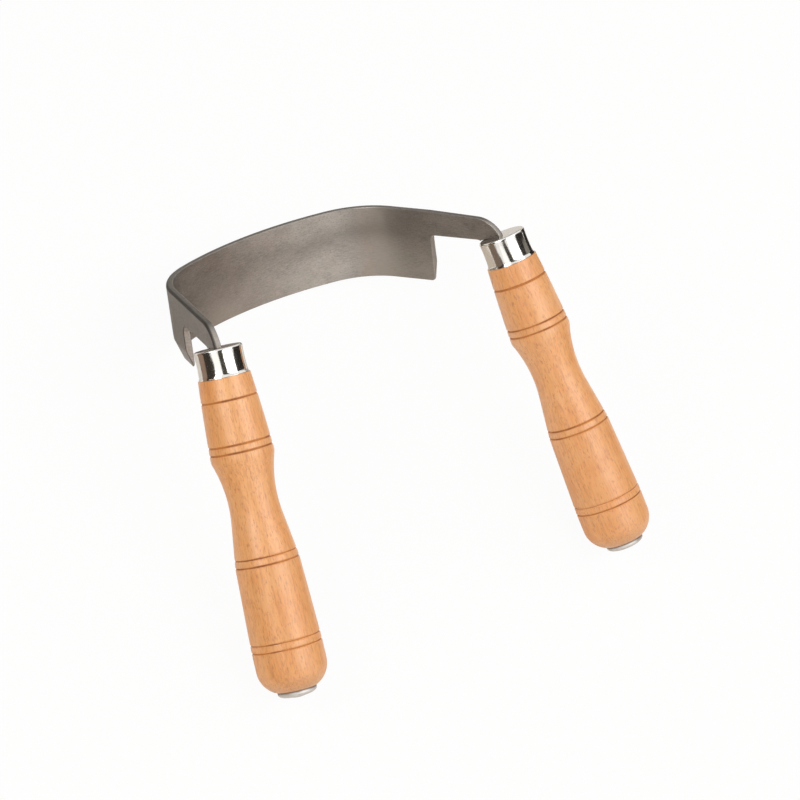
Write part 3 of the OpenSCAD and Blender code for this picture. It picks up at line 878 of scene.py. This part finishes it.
def make_ferrule(side, finish):
    """A drawn cup: flat top, quarter-round rim, parabolic hollow side and flare, rolled lip, bore."""
    turn = quarter_turn(RIM_RINGS)
    rim_radius = FERRULE_TOP_RADIUS - FERRULE_RIM * (1 - np.sin(turn))
    rim_place = FERRULE_RIM * (1 - np.cos(turn))
    flare_start = FERRULE_HEIGHT - FERRULE_FLARE
    part = np.linspace(0.0, 1.0, SIDE_RINGS)[1:]
    side_radius = FERRULE_TOP_RADIUS - FERRULE_HOLLOW * swell(part)
    side_place = FERRULE_RIM + part * (flare_start - FERRULE_RIM)
    part = np.linspace(0.0, 1.0, FLARE_RINGS)[1:-1]
    flare_radius = FERRULE_TOP_RADIUS + (FERRULE_MOUTH_RADIUS - FERRULE_TOP_RADIUS) * part**2
    flare_place = flare_start + part * (FERRULE_FLARE - FERRULE_LIP)
    lip_radius = FERRULE_MOUTH_RADIUS - FERRULE_LIP * (1 - np.cos(turn))
    lip_place = FERRULE_HEIGHT - FERRULE_LIP * (1 - np.sin(turn))
    top_radius, bore_radius = [0.0, FERRULE_TOP_RADIUS / 2], [FERRULE_BORE, FERRULE_BORE, 0.0]
    top_place, bore_place = [0.0, 0.0], [FERRULE_HEIGHT, FERRULE_TOP, FERRULE_TOP]
    radius = np.concatenate([top_radius, rim_radius, side_radius, flare_radius, lip_radius, bore_radius])
    place = np.concatenate([top_place, rim_place, side_place, flare_place, lip_place, bore_place])
    # The top is darkened: dirt, and a painted dark reflection
    dirt_and_shade = (place < FERRULE_LIP) * FERRULE_TOP_DIRT_AND_SHADE[side]
    piece = make_turned(f"{side}_nickel_ferrule", side, radius, place, finish, {"dirt_and_shade": dirt_and_shade})
    sharpen(piece, TURNED_CRISP)
    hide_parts(f"{side}_ferrule")


def make_washer(side, finish):
    """A domed ring under the rivet head: flat seat, short edge, quarter-ellipse dome, flat middle, hole."""
    seat = FERRULE_HEIGHT + GRIP_LENGTH
    turn = quarter_turn(DOME_RINGS)
    dome_radius = WASHER_FLAT + (WASHER_RADIUS - WASHER_FLAT) * np.cos(turn)
    dome_place = WASHER_EDGE + (WASHER_HEIGHT - WASHER_EDGE) * np.sin(turn)
    radius = np.concatenate([[RIVET_RADIUS, WASHER_RADIUS], dome_radius, [RIVET_RADIUS]])
    place = seat + np.concatenate([[0.0, 0.0], dome_place, [WASHER_HEIGHT]])
    # The washer's edge is painted dark as the shadow in the seam against the wood
    shares = {"dirt_and_shade": np.where(place < seat + WASHER_EDGE, SEAM_SHADOW, BUTT_SOIL)}
    piece = make_turned(f"{side}_butt_washer", side, radius, place, finish, shares, ring=True)
    sharpen(piece, TURNED_CRISP)
    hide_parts(f"{side}_washer")


def make_rivet_head(side, finish):
    """The peened end of the shank: a low dome on the washer, with its neck in the washer's hole."""
    top = FERRULE_HEIGHT + GRIP_LENGTH + WASHER_HEIGHT
    turn = quarter_turn(RIVET_RINGS)
    dome_radius = RIVET_HEAD_RADIUS * np.cos(turn)
    dome_place = RIVET_HEAD_HEIGHT * np.sin(turn)
    radius = np.concatenate([[0.0, RIVET_RADIUS, RIVET_RADIUS], dome_radius])
    place = top + np.concatenate([[-WASHER_HEIGHT, -WASHER_HEIGHT, 0.0], dome_place])
    shares = {"dirt_and_shade": np.full(len(place), BUTT_SOIL)}
    make_turned(f"{side}_rivet_head", side, radius, place, finish, shares)


# Stage

def stage_plane(name, corner, first, second, material):
    """A flat four-cornered sheet from a corner and two sides, in metres."""
    corner, first, second = np.array([corner, first, second], float)
    mesh = bpy.data.meshes.new(name)
    points = [corner, corner + first, corner + first + second, corner + second]
    mesh.from_pydata(points, [], [(0, 1, 2, 3)])
    mesh.materials.append(material)
    sheet = bpy.data.objects.new(name, mesh)
    bpy.context.scene.collection.objects.link(sheet)
    return sheet


def seen_directly(tree, glossy):
    """1 for camera and transmission rays, a share for glossy ones, 0 for the rays that light the object."""
    rays = ("Is Camera Ray", "Is Glossy Ray", "Is Transmission Ray")
    camera, metal, glass = (tree.node("ShaderNodeLightPath", {}, {}, ray) for ray in rays)
    return (camera + metal * glossy + glass).clamped()


def make_floor():
    """A pale floor that looks white and keeps a faint shadow."""
    material, tree = finish_named("pale_floor")
    pale = tree.node("ShaderNodeBsdfDiffuse", {}, {"Color": FLOOR_COLOUR})
    white = tree.node("ShaderNodeEmission", {}, {"Color": WHITE, "Strength": 1.0})
    share = seen_directly(tree, FLOOR_IN_METAL) * FLOOR_WHITE
    mixed = tree.node("ShaderNodeMixShader", {}, {0: share, 1: pale, 2: white})
    tree.node("ShaderNodeOutputMaterial", {}, {"Surface": mixed})
    corner = (-FLOOR_HALF_SIZE, -FLOOR_HALF_SIZE, 0.0)
    stage_plane("floor", corner, (2 * FLOOR_HALF_SIZE, 0.0, 0.0), (0.0, 2 * FLOOR_HALF_SIZE, 0.0), material)


def make_card(name, corner, first, second, shade):
    """A plain card beside the tool that shows in reflections only."""
    material, tree = finish_named(name)
    glow = tree.node("ShaderNodeEmission", {}, {"Color": shade, "Strength": 1.0})
    tree.node("ShaderNodeOutputMaterial", {}, {"Surface": glow})
    card = stage_plane(name, corner, first, second, material)
    card.visible_camera = False
    card.visible_diffuse = False
    card.visible_shadow = False
    card.visible_transmission = False


def make_world():
    """Soft daylight that lights the tool, and white where the world is seen directly or in metal."""
    world = bpy.data.worlds.new("studio")
    bpy.context.scene.world = world
    tree = Tree(world)
    soft = tree.node("ShaderNodeBackground", {}, {"Color": DAYLIGHT, "Strength": DAYLIGHT_STRENGTH})
    white = tree.node("ShaderNodeBackground", {}, {"Color": WHITE, "Strength": 1.0})
    mixed = tree.node("ShaderNodeMixShader", {}, {0: seen_directly(tree, 1.0), 1: soft, 2: white})
    tree.node("ShaderNodeOutputWorld", {}, {"Surface": mixed})


def make_lamp(name, place, aim, size, power, in_metal):
    """A soft box that looks at a point."""
    light = bpy.data.lights.new(name, "AREA")
    light.shape = "RECTANGLE"
    light.size, light.size_y = size
    light.energy = power
    lamp = bpy.data.objects.new(name, light)
    lamp.location = place
    lamp.rotation_euler = (Vector(aim) - Vector(place)).to_track_quat("-Z", "Y").to_euler()
    lamp.visible_camera = False
    lamp.visible_glossy = in_metal
    bpy.context.scene.collection.objects.link(lamp)


def make_camera():
    """The camera at its place, turned to its aim and rolled about its own line of sight."""
    data = bpy.data.cameras.new("camera")
    data.lens = CAMERA_LENS
    data.sensor_width = CAMERA_SENSOR
    data.clip_end = CAMERA_REACH
    camera = bpy.data.objects.new("camera", data)
    look = (CAMERA_AIM - CAMERA_PLACE).to_track_quat("-Z", "Y").to_matrix().to_4x4()
    camera.matrix_world = Matrix.Translation(CAMERA_PLACE) @ look @ Matrix.Rotation(CAMERA_ROLL, 4, "Z")
    bpy.context.scene.collection.objects.link(camera)
    bpy.context.scene.camera = camera


steel, beech = brushed_steel(), lacquered_beech()
polished_nickel = nickel_plate("polished_nickel", POLISHED_ROUGHNESS)
satin_nickel = nickel_plate("satin_nickel", SATIN_ROUGHNESS)
make_blade(steel)
for hand in ("left", "right"):
    make_grip(hand, beech)
    make_ferrule(hand, polished_nickel)
    make_washer(hand, satin_nickel)
    make_rivet_head(hand, satin_nickel)

make_floor()
make_world()
for lamp_name, soft_box in SOFT_BOXES.items():
    make_lamp(lamp_name, *soft_box)
for card_name, card_form in REFLECTION_CARDS.items():
    make_card(card_name, *card_form)
make_camera()
bpy.context.scene.view_settings.view_transform = "Standard"
